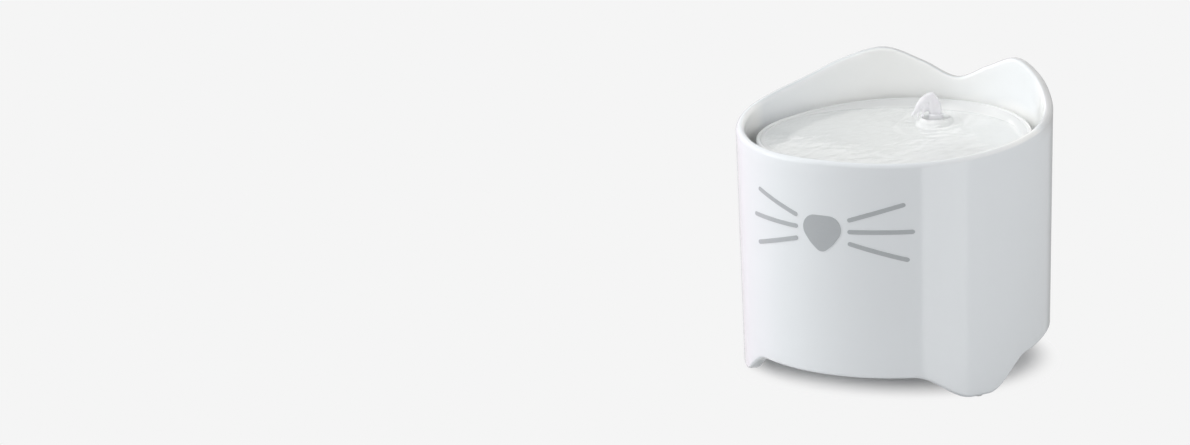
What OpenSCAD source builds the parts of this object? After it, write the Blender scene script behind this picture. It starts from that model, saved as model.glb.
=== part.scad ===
// Ceramic pet water fountain with ears, three feet, a lift-out drinking dish
// and a submersible pump that feeds a bubbling spout through the dish.
// Front is -Y, the spout is at the back (+Y), and the feet stand on z = 0.

/* [Bowl] */
// Outer radius of the bowl just below its front rim
bowl_r = 95; // [90:1:105]
// Height of the rim at the front
front_h = 145; // [142:1:155]
// How far the two ear tips stand above the front rim
ear_rise = 30; // [20:1:45]
// How far the rim between the ears stands above the front rim
dip_rise = 12.6; // [7:0.5:19]
// Wall thickness, which the rounded rim shares
wall = 5.5; // [4.5:0.25:6.5]
// Inward lean of the wall for each mm that it goes down
draft = 0.013; // [0:0.001:0.02]
// Height of the reservoir floor inside the bowl
floor_h = 30; // [29:0.5:34]
// Thickness of the reservoir floor
floor_t = 5; // [4:0.5:6]
// Radius of the inner corner between the floor and the wall
corner_r = 8; // [4:1:12]

/* [Feet] */
// Angle of the two front feet, either side of the front
foot_angle = 57.5; // [50:0.5:65]
// Half the angle over which a foot is flat
foot_flat = 3.5; // [3:0.5:6]
// Height of the arch between the front feet
front_arch_h = 16; // [10:1:20]
// Height of the arches at the sides
side_arch_h = 22; // [18:1:23]
// Thickness of the skirt that forms the feet
skirt_t = 8; // [7:0.5:10]
// Rounding of the skirt's lower edge
edge_r = 2; // [1:0.25:2]
// Radius of a foot pad
pad_r = 2.6; // [2:0.1:3]
// How far a pad stands out below its foot
pad_out = 0.6; // [0.4:0.1:1.5]
// Depth of the pocket that holds a pad
pad_pocket = 1.6; // [1:0.1:3]

/* [Dish lugs] */
// How far the tops of the three lugs, which carry the dish, lie below the front rim
lug_drop = 15.3; // [14:0.1:21]
// How far a lug reaches in from the wall
lug_reach = 12; // [10:0.5:15]
// Height of a lug's slanted underside
lug_slope = 24; // [14:1:30]

/* [Dish] */
// Gap between the dish's rim and the wall at the left and right
dish_side_gap = 7.5; // [4:0.5:8.5]
// Gap between the dish's rim and the wall at the front and back
dish_end_gap = 3; // [2:0.5:6]
// How far the dish's rim stands above the lugs at the front and sides
dish_rim_rise = 11.1; // [9:0.1:12.3]
// How much higher the rim is at the back
dish_back_rise = 3.2; // [0:0.1:5]
// How far the dish's lowest point, at its middle, stands above the lugs
dish_low_rise = 2.3; // [1.3:0.1:4.3]
// Thickness of the dish
dish_t = 3.2; // [2.6:0.1:3.6]
// How far the lip around the spout hole stands above the lugs
lip_rise = 8.4; // [7.3:0.1:8.8]
// Radius of the spout hole, which is also the drain
spout_hole_r = 8; // [7:0.1:9]
// Wall of the drain collar under the spout hole
collar_t = 2; // [1.5:0.1:3]
// Length of the drain collar
collar_len = 17; // [14:0.5:18]
// How steeply the dish's floor rises at the front and sides
dish_curve = 1.6; // [1.2:0.1:2.5]
// How steeply the dish's floor rises at the back
dish_back_curve = 4; // [2.5:0.1:5]

/* [Spout] */
// Radius of the nozzle's head
nozzle_r = 4.8; // [4.3:0.1:5.5]
// How far the nozzle's mouth stands above the lip of the spout hole
nozzle_rise = 2.5; // [1.4:0.1:3.9]
// Radius of the nozzle's bore
nozzle_bore = 2.6; // [2:0.1:3]
// Length of the nozzle's spigot inside the riser
spigot_len = 10; // [6:0.5:14]
// Outer radius of the riser tube
riser_r = 5.8; // [5.4:0.1:6.2]
// Inner radius of the riser tube, which grips the pump outlet
riser_bore = 4.2; // [3.8:0.1:4.4]
// How far the riser's top lies below the lip of the spout hole
riser_drop = 9.1; // [7:0.1:12]
// Radius of the riser's collar, which carries the filter basket
riser_collar_r = 8.5; // [8:0.1:10]
// Thickness of the riser's collar
riser_collar_t = 2.5; // [1.5:0.1:4]

/* [Filter] */
// Drop from the end of the drain collar to the top of the carbon filter
drain_drop = 5; // [3:0.5:8]
// Outer radius of the filter basket
basket_r = 24; // [21:0.5:25]
// Gap between the filter basket and the back wall
basket_gap = 4.87; // [4:0.01:8]
// How far the basket's wall stands above the carbon filter
basket_freeboard = 4; // [1:0.5:5]
// Wall thickness of the filter basket
basket_t = 1.6; // [1.2:0.1:2.2]
// Thickness of the foam disc
foam_t = 8; // [6:0.5:9]
// Thickness of the carbon filter
carbon_t = 12; // [8:0.5:13]
// Slots in the basket's floor
basket_slots = 12; // [8:1:14]

/* [Pump] */
// Outer radius of the impeller chamber
chamber_r = 16; // [15.5:0.1:16.5]
// Radius of the impeller chamber's bore
chamber_bore = 12; // [11.5:0.1:12.5]
// Distance of the chamber's front face from the outlet
chamber_front = 9; // [8.5:0.1:10]
// Half the width and height of the motor block
block_half = 16; // [15.5:0.1:17]
// Distance of the motor block's end from the outlet
block_end = 50; // [50:0.5:53]
// Radius of the motor block's long edges
block_edge_r = 3; // [1:0.5:4]
// Thickness of the pump's base plate
base_t = 3; // [2:0.5:4]
// Radius of the well in which the magnet turns
well_r = 8; // [7.9:0.1:8.4]
// Depth of the well, from the outlet
well_end = 34; // [34:0.5:35]
// Wall of the well
well_wall = 2; // [1.5:0.1:2.2]
// Radius of the magnet
magnet_r = 7.4; // [6.5:0.1:7.5]
// Radius of the fixed shaft
shaft_r = 1.15; // [1:0.05:1.3]
// Radial running clearance between the shaft and the impeller
shaft_fit = 0.05; // [0.02:0.01:0.1]
// Blades on the impeller
blades = 6; // [4:1:8]
// Length of the pump's outlet above its block
outlet_len = 9; // [7:0.5:12]
// Bore of the pump's outlet
outlet_bore = 3; // [2.4:0.1:3.2]
// Outer radius of the pump's front cover
cap_r = 18; // [17.8:0.1:18.4]
// How far the front cover reaches in front of the chamber
cap_reach = 10; // [9:0.5:11]
// Thickness of the front cover's grille
grille_t = 2; // [1.5:0.1:2.5]
// Radius of a suction cup
cup_r = 7; // [5:0.5:7.5]
// Height of a suction cup
cup_h = 4.5; // [3.5:0.5:6]

/* [Cable grommet] */
// How far the cable hole in the back wall lies below the lugs' tops
cable_drop = 12.7; // [10:0.1:17.7]
// Radius of the hole in the ceramic wall
cable_hole_r = 5; // [4:0.1:6]
// Radius of the grommet's bore
cable_bore = 2.3; // [2:0.1:2.8]
// How far each flange of the grommet stands out
flange_t = 1.8; // [1.2:0.1:2]
// Radius of the grommet's flanges
flange_r = 7.5; // [7:0.1:9]

/* [Face print] */
// Height of the middle whiskers
face_h = 104.3; // [95:0.5:115]
// Turn of the face about the bowl's axis
face_turn = -1.5; // [-5:0.5:5]
// Width of a whisker
whisker_w = 2.5; // [1.5:0.1:4]
// Thickness of the print
print_t = 0.25; // [0.2:0.05:0.5]

/* [Fits] */
// Gap between parts that lift apart
seat_gap = 0.3; // [0.2:0.05:0.4]
// Small gap under the print
print_gap = 0.05; // [0.04:0.01:0.1]
// Gap between the foam and the carbon filter
disc_gap = 0.1; // [0.05:0.05:0.3]
// Gap around the nozzle's spigot in the riser
spigot_fit = 0.05; // [0.02:0.01:0.1]
// Gap around the grommet in its hole
grommet_fit = 0.05; // [0.02:0.01:0.1]
// Gap between the curved wall inside the bowl and the grommet's flat flange
flange_gap = 0.6; // [0.5:0.05:0.9]

/* [Hidden] */
$fn = 64;

// Bowl and dish shells are swept in this many steps around
steps = 120;
ear_h = front_h + ear_rise;
dip_h = front_h + dip_rise;
lug_h = front_h - lug_drop;
dish_rim_h = lug_h + dish_rim_rise;
dish_low_h = lug_h + dish_low_rise;
lip_h = lug_h + lip_rise;
nozzle_h = lip_h + nozzle_rise;
riser_h = lip_h - riser_drop;
cable_h = lug_h - cable_drop;
// Height at which the outer radius is stated
ref_h = front_h - 2.5;
under_h = floor_h - floor_t;
dish_rx = inner_r(dish_rim_h) - dish_side_gap;
dish_ry = inner_r(dish_rim_h) - dish_end_gap;
basket_fill_h = basket_t + seat_gap + foam_t + disc_gap + carbon_t;
basket_wall_h = basket_fill_h + basket_freeboard;
basket_h = lip_h - collar_len - drain_drop - basket_fill_h;
// Distance of the spout behind the middle of the bowl
spout_y = inner_r(basket_h) - basket_r - basket_gap;
foot_h = pad_out;
rear_foot = 180;
foot_centre_r = outer_r(foot_h) - skirt_t / 2;
lug_angles = [0, 120, 240];
// Half angles over which a lug is flat, and at which it has run out
lug_flat = 5;
lug_end = 9;
// How far the wall steps in at the lugs' height between the lugs
wall_step = 0.4;
dish_skirt_h = lug_h + seat_gap;
// Angles between which the dish's rim rises, and its floor steepens
rise_from = 95;
rise_to = 165;
curve_from = 60;
curve_to = 150;

// Rise of the rim from front_h to ear_h at angles from the front; the last
// knot, between the ears, is set by dip_h
dip_share = (dip_h - front_h) / (ear_h - front_h);
rim_knots = [
    [0, 0], [32, 0], [60, 0.087], [80, 0.194], [100, 0.32], [118, 0.507],
    [135, 0.815], [151, 1], [166, 0.72], [180, dip_share]
];

pump_z = floor_h + seat_gap + cup_h + base_t + block_half;
chamber_back = 4;
magnet_x = 5;
magnet_end_gap = 3;
magnet_len = well_end - magnet_x - magnet_end_gap;
tube_r = 2.6;
bush_r = 3.2;
bush_len = 2.5;
cover_t = 2.5;
cap_back = riser_bore + seat_gap;
cap_front = chamber_front + cap_reach;
slider_t = 1.2;
slider_half = 7.5;
plate_drop = 7;
plate_h = 10;
base_half = block_half + 3;
base_start = 2;
cup_inset = 4;
cup_x = [base_start + 3, block_end - 9];
cup_y = base_half - cup_inset;
cup_places = [[cup_x[0], cup_y], [cup_x[0], -cup_y], [cup_x[1], cup_y], [cup_x[1], -cup_y]];
cup_stem_r = 2;
cup_stem_len = 2.3;

// 0 below lo, 1 above hi, and a smooth S between them
function ease(x, lo, hi) = x <= lo ? 0 : x >= hi ? 1 : (1 - cos(180 * (x - lo) / (hi - lo))) / 2;

// Angle from the front, 0 to 180 on either side
function from_front(a) = let (b = a % 360) b > 180 ? 360 - b : b;

// Outer radius of the bowl at a height
function outer_r(z) = bowl_r - draft * (ref_h - z);
function inner_r(z) = outer_r(z) - wall;

// Slope at knot i, level at both ends because the rim is symmetric
function knot_slope(k, i) = i == 0 || i == len(k) - 1 ? 0
    : (k[i + 1][1] - k[i - 1][1]) / (k[i + 1][0] - k[i - 1][0]);

// Smooth curve through the knots at x
function curve(k, x, i = 0) = x > k[i + 1][0] && i < len(k) - 2 ? curve(k, x, i + 1)
    : let (w = k[i + 1][0] - k[i][0], t = (x - k[i][0]) / w)
        k[i][1] * (2 * t ^ 3 - 3 * t ^ 2 + 1)
        + knot_slope(k, i) * w * (t ^ 3 - 2 * t ^ 2 + t)
        + k[i + 1][1] * (3 * t ^ 2 - 2 * t ^ 3)
        + knot_slope(k, i + 1) * w * (t ^ 3 - t ^ 2);

function rim_height(a) = front_h + (ear_h - front_h) * curve(rim_knots, from_front(a));

// Height of the skirt's lower edge: feet at three angles, arches between
function edge_height(a) =
    let (t = from_front(a), d = abs(t - foot_angle))
    t < foot_angle
        ? foot_h + (front_arch_h - foot_h) * ease(d, foot_flat, foot_flat + 23)
        : side_edge(min(d, rear_foot - t));
function side_edge(d) = foot_h + (side_arch_h - foot_h) * (0.82 * ease(d, foot_flat, foot_flat + 20)
    + 0.18 * ease(d, 14, 50));

// How far the lugs reach in from the wall at an angle
function lug_at(a) = wall_step + (lug_reach - wall_step)
    * max([for (l = lug_angles) 1 - ease(abs(((a - l + 540) % 360) - 180), lug_flat, lug_end)]);

// Points of an arc from angle a0 to a1 about [cr, cz]
function arc(cr, cz, r, a0, a1, n) =
    [for (i = [0:n]) let (b = a0 + (a1 - a0) * i / n) [cr + r * cos(b), cz + r * sin(b)]];

function bowl_profile(a) =
    let (top = rim_height(a), low = edge_height(a), half = wall / 2, skirt_r = outer_r(under_h) - skirt_t)
    concat(
        arc(inner_r(floor_h + corner_r) - corner_r, floor_h + corner_r, corner_r, -90, 0, 4),
        [[inner_r(lug_h - lug_slope), lug_h - lug_slope]],
        [[inner_r(lug_h) - lug_at(a), lug_h - 4]],
        [[inner_r(lug_h) - lug_at(a), lug_h]],
        [[inner_r(lug_h), lug_h]],
        arc(outer_r(top - half) - half, top - half, half, 180, 0, 8),
        arc(outer_r(low + edge_r) - edge_r, low + edge_r, edge_r, 0, -90, 3),
        arc(skirt_r + edge_r, low + edge_r, edge_r, -90, -180, 3),
        [[skirt_r, under_h]]
    );

// Radius of the dish's outline at an angle from the front
function dish_r(a) = dish_rx * dish_ry / sqrt((dish_ry * sin(a)) ^ 2 + (dish_rx * cos(a)) ^ 2);
function dish_rim(a) = dish_rim_h + dish_back_rise * ease(from_front(a), rise_from, rise_to);

// Height of the dish's floor at a share u of the way to its rim, at an angle
function dish_floor(u, a) = dish_low_h + (dish_rim(a) - 0.6 - dish_low_h)
    * u ^ (dish_curve + (dish_back_curve - dish_curve) * ease(from_front(a), curve_from, curve_to));

function dish_profile(a) =
    let (rim = dish_rim(a), r = dish_r(a), half = dish_t / 2, bowl_end = r - dish_t)
    concat(
        [for (u = [0.2, 0.4, 0.6, 0.75, 0.88, 0.96]) [bowl_end * u, dish_floor(u, a)]],
        arc(r - half, rim - half, half, 150, 0, 4),
        [[r, dish_skirt_h + 1], [r - 1, dish_skirt_h], [r - dish_t, dish_skirt_h]],
        [for (u = [0.94, 0.75, 0.6, 0.4, 0.2]) [bowl_end * u, dish_floor(u, a) - dish_t]]
    );

// Solid swept around Z from a profile that starts and ends near the axis;
// the rows are the profile at each step, z0 and z1 its heights on the axis
module swept(rows, z0, z1) {
    n = len(rows);
    m = len(rows[0]);
    rings = [for (i = [0:n - 1]) for (p = rows[i])
        let (a = 360 * i / n) [p[0] * sin(a), -p[0] * cos(a), p[1]]];
    walls = [for (i = [0:n - 1]) for (k = [0:m - 2])
        let (j = (i + 1) % n)
        each [
            [i * m + k, j * m + k, j * m + k + 1],
            [i * m + k, j * m + k + 1, i * m + k + 1]
        ]];
    ends = [for (i = [0:n - 1])
        let (j = (i + 1) % n)
        each [
            [n * m, j * m, i * m],
            [n * m + 1, i * m + m - 1, j * m + m - 1]
        ]];
    polyhedron(points = concat(rings, [[0, 0, z0], [0, 0, z1]]), faces = concat(walls, ends));
}

// Places children at an angle from the front, at a radius
module at_angle(a, r) rotate([0, 0, a - 90]) translate([r, 0, 0]) rotate([0, 0, 90]) children();

// Places children about the spout's vertical axis
module at_spout() translate([0, spout_y, 0]) children();

// Places children in the pump's frame: x runs back along the impeller axis
// from the outlet, towards the motor, and z is up
module in_pump() translate([0, spout_y, pump_z]) rotate([0, 0, -90]) children();

// Cylinder along x from x0 to x1
module rod(r, x0, x1) translate([x0, 0, 0]) rotate([0, 90, 0]) cylinder(r = r, h = x1 - x0);

// Square bar along x with round long edges
module bar(half, x0, x1, r) {
    translate([x0, -half, r - half]) cube([x1 - x0, 2 * half, 2 * (half - r)]);
    translate([x0, r - half, -half]) cube([x1 - x0, 2 * (half - r), 2 * half]);
    for (y = [r - half, half - r])
        for (z = [r - half, half - r])
            translate([0, y, z]) rod(r, x0, x1);
}

module bowl() {
    color("white")
    difference() {
        swept([for (i = [0:steps - 1]) bowl_profile(360 * i / steps)], floor_h, under_h);
        for (a = [foot_angle, -foot_angle, rear_foot])
            at_angle(a, foot_centre_r)
                translate([0, 0, foot_h - 1]) cylinder(r = pad_r, h = pad_pocket + 1);
        translate([0, 0, cable_h]) rotate([-90, 0, 0]) cylinder(r = cable_hole_r, h = bowl_r + wall);
    }
}

pad_bevel = 0.3;

// Silicone pad pressed into a foot
module foot_pad(a) {
    color("gainsboro")
    at_angle(a, foot_centre_r) {
        cylinder(r1 = pad_r - pad_bevel, r2 = pad_r, h = pad_bevel);
        translate([0, 0, pad_bevel]) cylinder(r = pad_r, h = foot_h + pad_pocket - pad_bevel);
    }
}

// Thin layer that follows the outside of the wall between two heights
module print_layer(z0, z1) {
    rotate_extrude($fn = 180)
    polygon([
        [outer_r(z0) + print_gap, z0],
        [outer_r(z0) + print_gap + print_t, z0],
        [outer_r(z1) + print_gap + print_t, z1],
        [outer_r(z1) + print_gap, z1]
    ]);
}

// Extrudes an outline drawn in x and z through the front of the wall
module through_front() {
    rotate([0, 0, face_turn])
    translate([0, -bowl_r / 2, 0]) rotate([90, 0, 0]) linear_extrude(height = bowl_r) children();
}

// Two round corners, a wide middle and a blunt tip below make up the nose
nose_corner_r = 7.75;
nose_corner_x = 4.5;
nose_corner_z = 0.65;
nose_middle_r = 9.95;
nose_middle_z = -1.65;
nose_tip_r = 5;
nose_tip_z = -8.1;

module nose_print() {
    color("darkgray")
    intersection() {
        print_layer(face_h - 20, face_h + 20);
        through_front() translate([0, face_h]) hull() {
            for (s = [-1, 1])
                translate([s * nose_corner_x, nose_corner_z]) circle(r = nose_corner_r, $fn = 40);
            translate([0, nose_middle_z]) circle(r = nose_middle_r, $fn = 48);
            translate([0, nose_tip_z]) circle(r = nose_tip_r, $fn = 36);
        }
    }
}

// Point on a curve from p to q that is pulled towards c, and its direction
function bend(p, c, q, t) = p * (1 - t) ^ 2 + c * 2 * t * (1 - t) + q * t ^ 2;
function bend_angle(p, c, q, t) =
    let (d = (c - p) * (1 - t) + (q - c) * t) atan2(d[1], d[0]);
function toward(a) = [cos(a), sin(a)];

// Round-ended stroke of width w along that curve
module stroke(p, c, q, w) {
    n = 8;
    first = bend_angle(p, c, q, 0);
    last = bend_angle(p, c, q, 1);
    polygon(concat(
        [for (i = [0:n]) bend(p, c, q, i / n) + toward(bend_angle(p, c, q, i / n) + 90) * w / 2],
        [for (i = [1:7]) q + toward(last + 90 - 22.5 * i) * w / 2],
        [for (i = [n:-1:0]) bend(p, c, q, i / n) + toward(bend_angle(p, c, q, i / n) - 90) * w / 2],
        [for (i = [1:7]) p + toward(first - 90 - 22.5 * i) * w / 2]
    ));
}

// Inner end, pull point and outer end of each whisker on the right
whiskers = [
    [[17.5, 7], [34, 12.5], [46.8, 16.6]],
    [[17.5, 0], [34, 0.4], [51.2, 0.6]],
    [[17.5, -7.2], [34, -11.6], [48.4, -16]]
];

module whisker_prints() {
    color("darkgray")
    intersection() {
        print_layer(face_h - 25, face_h + 25);
        through_front()
            for (side = [0, 1])
                for (k = whiskers)
                    translate([0, face_h]) mirror([side, 0]) stroke(k[0], k[1], k[2], whisker_w);
    }
}

// Rubber grommet in the back wall, open for a cable
module cable_grommet() {
    inside = inner_r(cable_h) - flange_t - flange_gap;
    outside = outer_r(cable_h) + flange_t + seat_gap;
    color("dimgray")
    translate([0, 0, cable_h]) rotate([-90, 0, 0])
    difference() {
        union() {
            translate([0, 0, inside]) cylinder(r = cable_hole_r - grommet_fit, h = outside - inside);
            translate([0, 0, inside]) cylinder(r = flange_r, h = flange_t);
            translate([0, 0, outside - flange_t]) cylinder(r = flange_r, h = flange_t);
        }
        translate([0, 0, inside - 1]) cylinder(r = cable_bore, h = outside - inside + 2);
    }
}

// Shallow dish on the lugs, with a raised hole for the spout and a drain collar
module drinking_dish() {
    collar_r = spout_hole_r + collar_t;
    foot_r = collar_r + 2;
    foot_z = dish_floor((spout_y - foot_r) / (dish_ry - dish_t), rear_foot) - 0.4;
    color("whitesmoke")
    difference() {
        union() {
            swept(
                [for (i = [0:steps - 1]) dish_profile(360 * i / steps)],
                dish_low_h, dish_low_h - dish_t
            );
            at_spout() translate([0, 0, lip_h - collar_len]) cylinder(r = collar_r, h = collar_len - 1);
            at_spout() translate([0, 0, lip_h - 1]) cylinder(r1 = collar_r, r2 = collar_r - 1, h = 1);
            at_spout() translate([0, 0, foot_z])
                cylinder(r1 = foot_r, r2 = collar_r, h = lip_h - 1 - foot_z);
        }
        at_spout() translate([0, 0, lip_h - collar_len - 1]) cylinder(r = spout_hole_r, h = collar_len + 8);
    }
}

// Nozzle plugged into the riser
module spout_nozzle() {
    head_h = riser_h + seat_gap;
    lip = nozzle_r - nozzle_bore;
    color("white")
    at_spout()
    rotate_extrude()
    polygon(concat(
        [[nozzle_bore, riser_h - spigot_len], [riser_bore - spigot_fit, riser_h - spigot_len]],
        [[riser_bore - spigot_fit, head_h], [nozzle_r, head_h]],
        arc(nozzle_bore + lip / 2, nozzle_h - lip / 2, lip / 2, 0, 180, 12)
    ));
}

// Riser from the pump's outlet to the nozzle, with the basket's collar
module riser_tube() {
    low = pump_z + cap_r + seat_gap;
    color("lightgray")
    at_spout()
    difference() {
        union() {
            translate([0, 0, low]) cylinder(r = riser_r, h = riser_h - low);
            translate([0, 0, basket_h - seat_gap - riser_collar_t])
                cylinder(r = riser_collar_r, h = riser_collar_t);
        }
        translate([0, 0, low - 1]) cylinder(r = riser_bore, h = riser_h - low + 2);
    }
}

sleeve_r = riser_r + seat_gap;
sleeve_wall = 1.4;
filter_hole_r = sleeve_r + sleeve_wall + seat_gap;
filter_r = basket_r - basket_t - seat_gap;
filter_h = basket_h + basket_t + seat_gap;

basket_slot_w = 2;
basket_slot_margin = 2;

// Open basket around the riser, with radial slots in its floor
module filter_basket() {
    slot_start = sleeve_r + sleeve_wall + basket_slot_margin;
    slot_end = basket_r - basket_t - basket_slot_margin;
    color("whitesmoke")
    at_spout()
    difference() {
        union() {
            difference() {
                translate([0, 0, basket_h]) cylinder(r = basket_r, h = basket_wall_h);
                translate([0, 0, basket_h + basket_t]) cylinder(r = basket_r - basket_t, h = basket_wall_h);
            }
            translate([0, 0, basket_h]) cylinder(r = sleeve_r + sleeve_wall, h = foam_t + carbon_t);
        }
        translate([0, 0, basket_h - 1]) cylinder(r = sleeve_r, h = basket_wall_h);
        for (i = [0:basket_slots - 1])
            rotate([0, 0, 360 * i / basket_slots])
                translate([slot_start, -basket_slot_w / 2, basket_h - 1])
                    cube([slot_end - slot_start, basket_slot_w, basket_t + 2]);
    }
}

// Ring that fills the basket between its sleeve and its wall
module filter_ring(z, t) {
    at_spout()
    difference() {
        translate([0, 0, z]) cylinder(r = filter_r, h = t);
        translate([0, 0, z - 1]) cylinder(r = filter_hole_r, h = t + 2);
    }
}

module foam_disc() color("dimgray") filter_ring(filter_h, foam_t);

module carbon_filter() color("darkslategray") filter_ring(filter_h + foam_t + disc_gap, carbon_t);

bush_pocket_end = well_end + bush_len;
well_end_wall = 1;
well_out = bush_pocket_end + well_end_wall;
block_wall = 1.7;
cavity_half = block_half - block_wall;
cavity_front_wall = 4;
cavity_start = chamber_back + cavity_front_wall;
cavity_edge_r = 1;
cup_pocket_gap = 0.2;
// Rubber ring, its groove in the chamber's front face and the gaps around it
seal_r = 0.68;
seal_fit = 0.12;
seal_land = 2;
seal_front_gap = 0.02;
seal_back_gap = 0.05;
seal_ring_r = chamber_bore + seal_land;
seal_x = seal_r + seal_front_gap - chamber_front;
groove_end = seal_x + seal_r + seal_back_gap;

// Moulded pump body: impeller chamber, magnet well, motor cavity and outlet
module pump_body() {
    color("darkslateblue")
    in_pump()
    difference() {
        union() {
            rod(chamber_r, -chamber_front, chamber_back);
            bar(block_half, chamber_back, block_end, block_edge_r);
            translate([base_start, -base_half, -block_half - base_t])
                cube([block_end - base_start, 2 * base_half, base_t + 1]);
            cylinder(r = riser_bore, h = block_half + outlet_len);
        }
        rod(chamber_bore, -chamber_front - 1, chamber_back);
        rod(well_r, chamber_back - 1, well_end);
        rod(bush_r, well_end - 1, bush_pocket_end);
        cylinder(r = outlet_bore, h = block_half + outlet_len + 1);
        difference() {
            bar(cavity_half, cavity_start, block_end + 1, cavity_edge_r);
            rod(well_r + well_wall, cavity_start - 1, well_out);
        }
        difference() {
            rod(seal_ring_r + seal_r + seal_fit, -chamber_front - 1, groove_end);
            rod(seal_ring_r - seal_r - seal_fit, -chamber_front - 2, groove_end + 1);
        }
        for (p = cup_places)
            translate([p[0], p[1], -block_half - base_t - 1])
                cylinder(r = cup_stem_r, h = cup_stem_len + 1 + cup_pocket_gap);
    }
}

yoke_gap = 4;
yoke_x = well_out + yoke_gap;
yoke_t = 4;
core_half_h = 6.5;
core_front_gap = 3;
coil_half = 8.5;
coil_build = 3;
coil_gap = 0.2;
leg_gap = 0.6;
leg_in = well_r + well_wall + leg_gap;
leg_out = cavity_half - seat_gap;

// U of laminated steel around the magnet well, sealed in the motor block
module motor_core() {
    color("gray")
    in_pump() {
        for (s = [-1, 1])
            translate([cavity_start + core_front_gap, s > 0 ? leg_in : -leg_out, -core_half_h])
                cube([yoke_x - cavity_start - core_front_gap, leg_out - leg_in, 2 * core_half_h]);
        translate([yoke_x, -leg_out, -core_half_h]) cube([yoke_t, 2 * leg_out, 2 * core_half_h]);
    }
}

// Copper coil wound around the yoke
module motor_coil() {
    color("chocolate")
    in_pump()
    difference() {
        translate([yoke_x - coil_build - coil_gap, -coil_half, -core_half_h - coil_build])
            cube([yoke_t + 2 * (coil_build + coil_gap), 2 * coil_half, 2 * (core_half_h + coil_build)]);
        translate([yoke_x - coil_gap, -coil_half - 1, -core_half_h - coil_gap])
            cube([yoke_t + 2 * coil_gap, 2 * coil_half + 2, 2 * (core_half_h + coil_gap)]);
    }
}

cap_plate_t = 3;
// Gland: its plug, its round shoulder and the tapered sleeve behind it
gland_r = 4;
gland_shoulder = 1.2;
gland_shoulder_t = 2;
gland_sleeve_r = 4.4;
gland_sleeve_end_r = 3.4;
gland_sleeve_len = 4;

module motor_end_cap() {
    color("darkslateblue")
    in_pump()
    difference() {
        bar(block_half, block_end, block_end + cap_plate_t, block_edge_r);
        rod(gland_r, block_end - 1, block_end + cap_plate_t + 1);
    }
}

// Rubber gland where a cable enters the motor
module cable_gland() {
    out = block_end + cap_plate_t;
    sleeve_start = out + gland_shoulder_t;
    color("dimgray")
    in_pump()
    difference() {
        union() {
            rod(gland_r, block_end, out);
            rod(gland_r + gland_shoulder, out, sleeve_start);
            translate([sleeve_start, 0, 0]) rotate([0, 90, 0])
                cylinder(r1 = gland_sleeve_r, r2 = gland_sleeve_end_r, h = gland_sleeve_len);
        }
        rod(cable_bore, block_end - 1, sleeve_start + gland_sleeve_len + 1);
    }
}

// Clearances of the impeller in its chamber, at its magnet and in the well
impeller_gap = 1.3;
blade_gap = 1.2;
magnet_gap = 0.5;
impeller_front = chamber_front - impeller_gap;
blade_t = 1.4;
blade_r = chamber_bore - blade_gap;
hub_r = 3.6;
hub_end = 2.5;

// Plastic hub with straight blades and the tube that carries the magnet
module impeller() {
    color("white")
    in_pump()
    difference() {
        union() {
            rod(hub_r, -impeller_front, hub_end);
            rod(magnet_r, hub_end, magnet_x - magnet_gap);
            rod(tube_r, hub_end, well_end - magnet_gap);
            for (i = [0:blades - 1])
                rotate([360 * i / blades, 0, 0])
                    translate([blade_t / 2 - impeller_front, -blade_t / 2, tube_r])
                        cube([impeller_front - blade_t / 2 + hub_end, blade_t, blade_r - tube_r]);
        }
        rod(shaft_r + shaft_fit, -impeller_front - 1, well_end + 1);
    }
}

module rotor_magnet() {
    color("black")
    in_pump()
    difference() {
        rod(magnet_r, magnet_x, magnet_x + magnet_len);
        rod(tube_r, magnet_x - 1, magnet_x + magnet_len + 1);
    }
}

shaft_reach = 1.8;
shaft_end_gap = 0.2;

module impeller_shaft() {
    color("ivory")
    in_pump() rod(shaft_r, -chamber_front - shaft_reach, bush_pocket_end - shaft_end_gap);
}

bush_step = 0.6;
bush_seat_r = bush_r - bush_step;
holder_wall = 1.8;
holder_r = bush_seat_r + holder_wall;
inlet_r = 8;
// Half the angle that a spoke takes at the rim of the inlets
spoke_angle = 12;

module front_bush() {
    color("dimgray")
    in_pump()
    difference() {
        rod(bush_seat_r, -chamber_front - bush_len, -impeller_front - seat_gap);
        rod(shaft_r, -chamber_front - bush_len - 1, -impeller_front);
    }
}

module rear_bush() {
    color("dimgray")
    in_pump()
    difference() {
        rod(bush_r, well_end, bush_pocket_end);
        rod(shaft_r, well_end - 1, bush_pocket_end + 1);
    }
}

// Plate that closes the impeller chamber; three inlets leave spokes that hold
// the front bush
module volute_cover() {
    back = -chamber_front - cover_t;
    color("slategray")
    in_pump()
    difference() {
        rod(chamber_r - seat_gap, back, -chamber_front);
        rod(bush_seat_r, back - 1, -chamber_front + 1);
        for (i = [0:2])
            translate([back - 1, 0, 0]) rotate([120 * i, 0, 0]) rotate([0, 90, 0])
                linear_extrude(height = cover_t + 2)
                polygon(concat(
                    arc(0, 0, inlet_r, spoke_angle, 120 - spoke_angle, 10),
                    arc(0, 0, holder_r, 120 - spoke_angle, spoke_angle, 10)
                ));
    }
}

// Rubber ring in the groove between the chamber and its cover
module cover_seal() {
    color("black")
    in_pump()
    translate([seal_x, 0, 0]) rotate([0, 90, 0])
    rotate_extrude() translate([seal_ring_r, 0]) circle(r = seal_r, $fn = 24);
}

// Travel of the flow slider, and the knob that moves it
slider_travel = 6;
knob_half = 2;
knob_h = 3;
knob_z = -3.4;
knob_out = 1.5;
slot_gap = 0.4;
guide_t = 1.2;
guide_z = -9;
guide_h = 20;
guide_root = 0.5;
guide_depth = 1;
slider_gap = 0.2;
knob_root = 0.5;
// Upright slots of the grille at these distances either side of its middle
slot_y = 5;
slot_pitch = 3;
slot_ys = [slot_y, slot_y + 1.8 * slot_pitch, slot_y + 2.8 * slot_pitch];
slot_half = 0.9;
slot_h = 13;
// Level slots below and above them
level_low = 11.5;
level_high = 10.6;
level_w = 12;

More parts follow.
